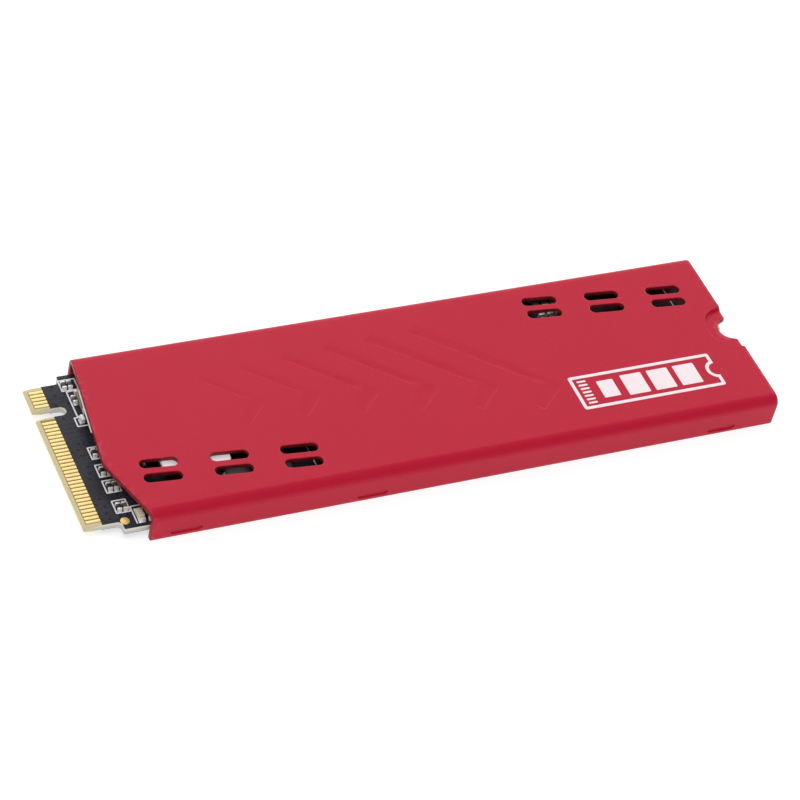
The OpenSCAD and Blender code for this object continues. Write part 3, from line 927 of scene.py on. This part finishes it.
def build_silkscreen():
    """Printed frames round groups of parts, and a bracket beside the activity light."""
    low, high = box_mm("silkscreen")
    x0, y0, x1, y1 = SILK_BRACKET
    leg, bar = x0 + SILK_LINE, y1 - SILK_LINE
    bracket = outline([
        (x0, y0, 0.04), (leg, y0, 0.04), (leg, bar, 0.05), (x1, bar, 0.04), (x1, y1, 0.04), (x0, y1, 0.1),
    ])
    frames = [[bracket]]
    for x0, y0, x1, y1 in SILK_BOXES:
        frames.append([
            rectangle(x0, y0, x1, y1, 0.1),
            rectangle(x0 + SILK_LINE, y0 + SILK_LINE, x1 - SILK_LINE, y1 - SILK_LINE, 0.05),
        ])
    parts = [plate([loop + (FRONT, 0) for loop in loops], low[2], high[2], 0.006) for loops in frames]
    finish_node("silkscreen", "silkscreen_lines", parts, "silkscreen")


def replace_discs(node, name, look):
    low, high = box_mm(node)
    finish_node(node, name, [plate([loop], low[2], high[2], 0.01) for loop in disc_loops(node)], look)


def build_screw_rings():
    for side in ("top", "bottom"):
        node = "screw_ring_" + side
        low, high = box_mm(node)
        outer = arc(CARD_L, 0, SCREW_RING_R, 90, 270, 33)
        inner = arc(CARD_L, 0, SCREW_NOTCH_R + 0.04, 270, 90, 33)
        loop = outline(outer + inner) + (FRONT, 0)
        finish_node(node, "plated_" + node, [plate([loop], low[2], high[2], 0.012)], "gold")


def moulded_body(low, high, dimple_r=0.35, inset=0.9):
    """Moulded package with softened edges and a shallow pin-one dimple."""
    middle = (low[0] + inset, low[1] + inset)
    dimple = Press(circle(*middle, dimple_r), (0.04, 0), (0, 0), 0.08)

    def place(flat, side, depth):
        z = high[2] - dimple.depth(flat, 0) - depth if side == 0 else np.full(len(flat), low[2] + depth)
        return np.column_stack([flat, z])

    return sheet_solid([rectangle(*low[:2], *high[:2], 0.08)], place, 0.05, dimple.rings())[:2]


def build_ball_chip(node):
    """Package on a thin laminate base, as the controller and the memory chips are."""
    low, high = box_mm(node)
    base_h = 0.2
    split = low[2] + base_h
    body_low = np.array([low[0] + 0.03, low[1] + 0.03, split])
    finish_node(node, node + "_body", [moulded_body(body_low, high - (0.03, 0.03, 0))], "mould")
    base = rounded_box(low, (high[0], high[1], split), 0.02)
    finish_node(node, node + "_base", [base], "substrate", replaced=False)


def build_leaded_chip(node, pitch, per_side, sides):
    """Leadless package with its solder lands showing along the sides in the given directions."""
    low, high = box_mm(node)
    proud = np.array([0.015, 0.015, 0])
    land_w, land_h, land_t = 0.25, 0.2, 0.1
    finish_node(node, node + "_body", [moulded_body(low + proud, high - proud)], "mould")
    lands = []
    middle = (low + high) / 2
    for axis in sides:
        for end, towards in ((low, 1), (high, -1)):
            for k in range(per_side):
                centre = middle.copy()
                centre[axis] = end[axis] + towards * land_t / 2
                centre[1 - axis] += (k - (per_side - 1) / 2) * pitch
                centre[2] = low[2] + land_h / 2
                half = np.array([land_w, land_w, land_h]) / 2
                half[axis] = land_t / 2
                lands.append(rounded_box(centre - half, centre + half, 0.012, 1))
    finish_node(node, node + "_lands", lands, "solder", replaced=False)


def build_solder_balls(node):
    parts = []
    for low, high in solids(node):
        x, y = (low + high)[:2] / 2
        radius = (high - low)[0] / 2
        profile = [
            (radius * width, low[2] + (high[2] - low[2]) * level)
            for width, level in ((0.7, 0), (0.9, 0.2), (1, 0.5), (0.9, 0.8), (0.7, 1))
        ]
        parts.append(lathe(x, y, profile))
    finish_node(node, node + "_barrels", parts, "solder")


# ---- surface-mount parts ----

def smd_sets(bodies_node, ends_node):
    """Each part's body box with its metal ends, and for each end the axis and sign that it points along."""
    bodies = solids(bodies_node)
    ends = [[] for _ in bodies]
    for low, high in solids(ends_node):
        steps = [(low + high - b[0] - b[1]) / 2 for b in bodies]
        owner = int(np.argmin([np.linalg.norm(step) for step in steps]))
        axis = int(np.argmax(np.abs(steps[owner][:2])))
        ends[owner].append((low, high, axis, float(np.sign(steps[owner][axis]))))
    return list(zip(bodies, ends))


def whole_box(low, high, ends):
    """Lowest and highest corner of a part together with its metal ends."""
    lows, highs = zip((low, high), *[end[:2] for end in ends])
    return np.min(lows, axis=0), np.max(highs, axis=0)


def solder_fillet(low, high, axis, sign, reach, height):
    """Concave fillet of solder that climbs the outer face of a metal end."""
    sink = 0.04
    turns = np.linspace(0, math.pi / 2, 6)
    curve = [(reach * (1 - math.sin(a)), height * (1 - math.cos(a))) for a in turns]
    loop = [(-sink, 0), *curve, (-sink, height)]
    along = [0.0, 0.0, 0.0]
    along[axis] = sign
    origin = (low + high) / 2
    origin[axis] = high[axis] if sign > 0 else low[axis]
    origin[2] = low[2]
    half_width = (high - low)[1 - axis] / 2 - 0.03
    return prism(loop, origin, along, (0, 0, 1), half_width, 0.006)


def build_smd(bodies_node, ends_node, look, inset=0.025, cap_r=0.06):
    """Ceramic bodies between wrapped metal ends, with a solder fillet at each end."""
    bodies = []
    caps = []
    for (low, high), ends in smd_sets(bodies_node, ends_node):
        axis = ends[0][2]
        slim = np.array([inset, inset, 0])
        slim[axis] = -0.05
        bodies.append(rounded_box(low + slim, high - slim - (0, 0, inset), 0.03))
        for end_low, end_high, axis, sign in ends:
            caps.append(rounded_box(end_low, end_high, cap_r, 3))
            caps.append(solder_fillet(end_low, end_high, axis, sign, 0.16, (high - low)[2] * 0.55))
    finish_node(bodies_node, bodies_node + "_bodies", bodies, look)
    finish_node(ends_node, ends_node + "_soldered", caps, "solder")


def build_inductors():
    """Pressed blocks with soft edges, and metal feet that fold up their two ends."""
    blocks = []
    feet = []
    foot_t, foot_rise, foot_margin = 0.12, 0.6, 0.35
    for (low, high), ends in smd_sets("power_inductors", "inductor_terminals"):
        axis = ends[0][2]
        whole_low, whole_high = whole_box(low, high, ends)
        trim = np.zeros(3)
        trim[axis] = foot_t / 2
        blocks.append(rounded_box(whole_low + trim + (0, 0, 0.04), whole_high - trim, 0.14, 4))
        for end_low, end_high, axis, sign in ends:
            plate_low, plate_high = end_low.copy(), end_high.copy()
            plate_low[1 - axis] += foot_margin
            plate_high[1 - axis] -= foot_margin
            plate_high[2] = end_low[2] + foot_rise
            if sign > 0:
                plate_low[axis] = end_high[axis] - foot_t
            else:
                plate_high[axis] = end_low[axis] + foot_t
            feet.append(rounded_box(plate_low, plate_high, 0.03))
            feet.append(solder_fillet(plate_low, plate_high, axis, sign, 0.2, 0.25))
    finish_node("power_inductors", "inductor_blocks", blocks, "ferrite")
    finish_node("inductor_terminals", "inductor_feet", feet, "solder")


def build_activity_light():
    """Chip light: a pale base over its two feet, under a resin block in the same pale ceramic look."""
    (low, high), ends = smd_sets("activity_light", "activity_light_terminals")[0]
    whole_low, whole_high = whole_box(low, high, ends)
    base_top = low[2] + 0.25
    inset = 0.02
    base_high = (whole_high[0] - inset, whole_high[1] - inset, base_top)
    base = rounded_box(whole_low + (inset, inset, 0), base_high, 0.03)
    resin = rounded_box((low[0] + 0.04, low[1] - 0.05, base_top), high - (0.04, -0.05, 0), 0.1, 4)
    finish_node("activity_light", "activity_light_block", [base, resin], "pale_ceramic")
    feet = []
    for end_low, end_high, axis, sign in ends:
        end_high[2] = base_top + 0.03
        feet.append(rounded_box(end_low, end_high, 0.03))
        feet.append(solder_fillet(end_low, end_high, axis, sign, 0.2, 0.22))
    finish_node("activity_light_terminals", "activity_light_feet", feet, "solder")


def build_load_switch():
    """Moulded switch with gull-wing leads along its two short ends."""
    (low, high), ends = smd_sets("load_switch", "load_switch_terminals")[0]
    finish_node("load_switch", "load_switch_body", [moulded_body(low, high, 0.2, 0.45)], "mould")
    profile = [
        (-0.25, 0.3), (-0.2, 0.3), (-0.17, 0.26), (-0.13, 0), (0, 0),
        (0, 0.12), (-0.05, 0.13), (-0.08, 0.36), (-0.14, 0.42), (-0.25, 0.42),
    ]
    pitch = 0.5
    leads = []
    for end_low, end_high, _, sign in ends:
        origin = (end_low + end_high) / 2
        origin[0] = end_high[0] if sign > 0 else end_low[0]
        origin[2] = end_low[2]
        for k in (-1.5, -0.5, 0.5, 1.5):
            leads.append(prism(profile, origin + (0, pitch * k, 0), (sign, 0, 0), (0, 0, 1), 0.12, 0.012))
    finish_node("load_switch_terminals", "load_switch_leads", leads, "solder")


def build_crystal():
    low, high = box_mm("crystal_base")
    finish_node("crystal_base", "crystal_tray", [rounded_box(low, high, 0.06, 3)], "pale_ceramic")
    low, high = box_mm("crystal_lid")
    brim = rounded_box(low, (high[0], high[1], low[2] + 0.06), 0.02)
    crown = rounded_box(low + (0.12, 0.12, 0.02), high - (0.12, 0.12, 0), 0.07, 4)
    finish_node("crystal_lid", "crystal_can", [brim, crown], "lid")


# ---- pads, print and label ----

def build_thermal_pads():
    """Soft pads: their sides bulge a little, and their corners are rounded by the die that cut them."""
    for node in ("controller_thermal_pad", "memory_thermal_pads"):
        replace_plates(node, node + "_soft", "pad", 0.5, 0.15, 0.02)
    low, high = box_mm("front_thermal_pad")
    (far_x, far_y), (nose_x, nose_y), _ = FRONT_EDGE
    slant = (far_x - nose_x) / (far_y - nose_y)
    proud = 0.04
    corners = [
        (FRONT + nose_x + slant * (low[1] - nose_y) - proud, low[1], 0.15),
        (high[0], low[1], 0.3),
        (high[0], high[1], 0.3),
        (FRONT + nose_x + slant * (high[1] - nose_y) - proud, high[1], 0.15),
    ]
    pad = plate([outline(corners)], low[2], high[2], 0.05)
    finish_node("front_thermal_pad", "front_pad_soft", [pad], "pad")


def build_printed_mark():
    """Generic pictogram of a card: its outline with a screw notch, contacts and chips."""
    low, high = box_mm("printed_mark")
    middle = (low[1] + high[1]) / 2
    line = 0.4
    notch_r = 0.9
    ink_rim = 0.008

    def frame_loop(inset, radius, count):
        (x0, y0), (x1, y1) = low[:2] + inset, high[:2] - inset
        reach = math.degrees(math.acos(inset / (notch_r + inset)))
        notch = arc(high[0], middle, notch_r + inset, 180 + reach, 180 - reach, count)
        return outline([(x0, y0, radius), (x1, y0, radius), *notch, (x1, y1, radius), (x0, y1, radius)])

    parts = [plate([frame_loop(0, 0.3, 17), frame_loop(line, 0.1, 15)], low[2], high[2], ink_rim)]
    for box_low, box_high in solids("printed_mark"):
        if box_high[0] - box_low[0] < (high[0] - low[0]) / 2:
            parts.append(plate([rectangle(*box_low[:2], *box_high[:2], 0.12)], low[2], high[2], ink_rim))
    finish_node("printed_mark", "pictogram_print", parts, "print")


def build_card():
    build_laminate()
    build_masks()
    for side in ("top", "bottom"):
        replace_plates("contacts_" + side, "contact_fingers_" + side, "gold", 0.06, 0.012)
    build_screw_rings()
    replace_discs("fiducial_marks", "alignment_dots", "dot_gold")
    replace_discs("test_pads", "test_points", "gold")
    build_silkscreen()
    replace_plates("underside_label", "label_sticker", "label", 1.0, 0.03)
    for node in ("controller_chip", "memory_chip_front", "memory_chip_rear"):
        build_ball_chip(node)
    for node in ("controller_solder_balls", "memory_solder_balls"):
        build_solder_balls(node)
    build_leaded_chip("power_manager_chip", 0.5, 6, (0, 1))
    build_leaded_chip("firmware_flash", 0.5, 4, (0,))
    build_load_switch()
    build_crystal()
    build_inductors()
    build_smd("input_capacitor", "input_capacitor_terminals", "tan_capacitor", cap_r=0.1)
    build_smd("small_capacitors", "small_capacitor_terminals", "capacitor")
    build_smd("large_capacitors", "large_capacitor_terminals", "capacitor")
    build_smd("resistors", "resistor_terminals", "resistor")
    build_activity_light()


# ---- camera, floor and light ----

AIM = (-1.136, -0.716, 2.0)
DISTANCE = 321.58
AZIMUTH = -33.228
ELEVATION = 44.152
ROLL = 14.533
LENS = 134.98
KEY_POWER = 3.5
SIDE_POWER = 3
FILL_POWER = 6
SKY_NEAR = 0.45
SKY_FAR = 0.6


def add_camera():
    azimuth, elevation = math.radians(AZIMUTH), math.radians(ELEVATION)
    back = Vector((
        math.sin(azimuth) * math.cos(elevation),
        -math.cos(azimuth) * math.cos(elevation),
        math.sin(elevation),
    ))
    data = bpy.data.cameras.new("camera")
    data.lens = LENS
    data.sensor_width = 36
    data.clip_start = 0.01
    data.clip_end = 10
    camera = bpy.data.objects.new("camera", data)
    turn = back.to_track_quat("Z", "Y").to_matrix() @ Matrix.Rotation(math.radians(ROLL), 3, "Z")
    camera.matrix_world = Matrix.Translation((Vector(AIM) + back * DISTANCE) * MM) @ turn.to_4x4()
    bpy.context.scene.collection.objects.link(camera)
    bpy.context.scene.camera = camera


def add_light(name, place, size, power):
    """A square softbox at a place in metres that faces the drive."""
    data = bpy.data.lights.new(name, "AREA")
    data.shape = "SQUARE"
    data.size = size
    data.energy = power
    light = bpy.data.objects.new(name, data)
    light.location = place
    light.rotation_euler = Vector(place).to_track_quat("Z", "Y").to_euler()
    bpy.context.scene.collection.objects.link(light)


def add_studio():
    bpy.ops.mesh.primitive_plane_add(size=6)
    floor = bpy.context.object
    floor.name = "floor"
    floor.data.materials.append(pale_floor())
    bpy.context.scene.world = studio_sky()
    add_light("key", (0.2, 0.95, 0.75), 0.8, KEY_POWER)
    add_light("side", (0.9, 0.6, 0.4), 0.4, SIDE_POWER)
    add_light("fill", (-0.45, -0.35, 1.4), 0.7, FILL_POWER)
    bpy.context.scene.view_settings.view_transform = "Standard"


def studio_sky():
    """White surroundings that fade to grey on the side that the camera looks from."""
    world = bpy.data.worlds.new("studio")
    world.use_nodes = True
    tree = world.node_tree
    direction = add_node(tree, "TexCoord", "Generated")
    fade = add_node(tree, "MapRange", "Result", {
        "Value": add_node(tree, "SeparateXYZ", "Y", {"Vector": direction}),
        "From Min": -0.8, "From Max": 0.6, "To Min": SKY_NEAR, "To Max": SKY_FAR,
    })
    background = tree.nodes["Background"]
    tree.links.new(fade, background.inputs["Strength"])
    background.inputs["Color"].default_value = (1, 1, 1, 1)
    return world


LOOKS = {
    "red": red_anodised(),
    "cut": shaded_red_cut_edge(),
    "print": white_ink(),
    "silkscreen": fine_grained(
        "silkscreen_ink", (0.82, 0.8, 0.86), (0.96, 0.94, 0.98), (0.55, 0.55), 0.08, detail=3,
    ),
    "pad": silicone_pad(),
    "laminate": glass_laminate(),
    "substrate": fine_grained(
        "chip_substrate", (0.018, 0.05, 0.035), (0.05, 0.1, 0.07), (0.32, 0.5), 0.1, 0.008,
    ),
    "mask": dark_mask(),
    "gold": gold_plate("gold_plate", (0.93, 0.66, 0.21), (0.98, 0.75, 0.3), (1.0, 0.8, 0.4)),
    "dot_gold": gold_plate("dot_gold", (0.86, 0.5, 0.13), (0.93, 0.6, 0.2), (0.96, 0.68, 0.28)),
    "solder": tin_solder(),
    "mould": mould_compound(),
    "pale_ceramic": fine_grained("pale_ceramic", (0.62, 0.58, 0.42), (0.8, 0.77, 0.62)),
    "lid": brushed_lid(),
    "ferrite": fine_grained("ferrite", (0.05, 0.05, 0.052), (0.11, 0.11, 0.115), (0.52, 0.7)),
    "capacitor": fine_grained("capacitor_body", (0.06, 0.052, 0.036), (0.13, 0.115, 0.08)),
    "tan_capacitor": fine_grained("tan_capacitor_body", (0.3, 0.26, 0.16), (0.42, 0.37, 0.25)),
    "resistor": fine_grained("resistor_body", (0.012, 0.012, 0.014), (0.03, 0.03, 0.034), (0.27, 0.45)),
    "label": label_film(),
}

add_camera()
add_studio()
build_heat_spreader()

build_card()
build_thermal_pads()
build_printed_mark()
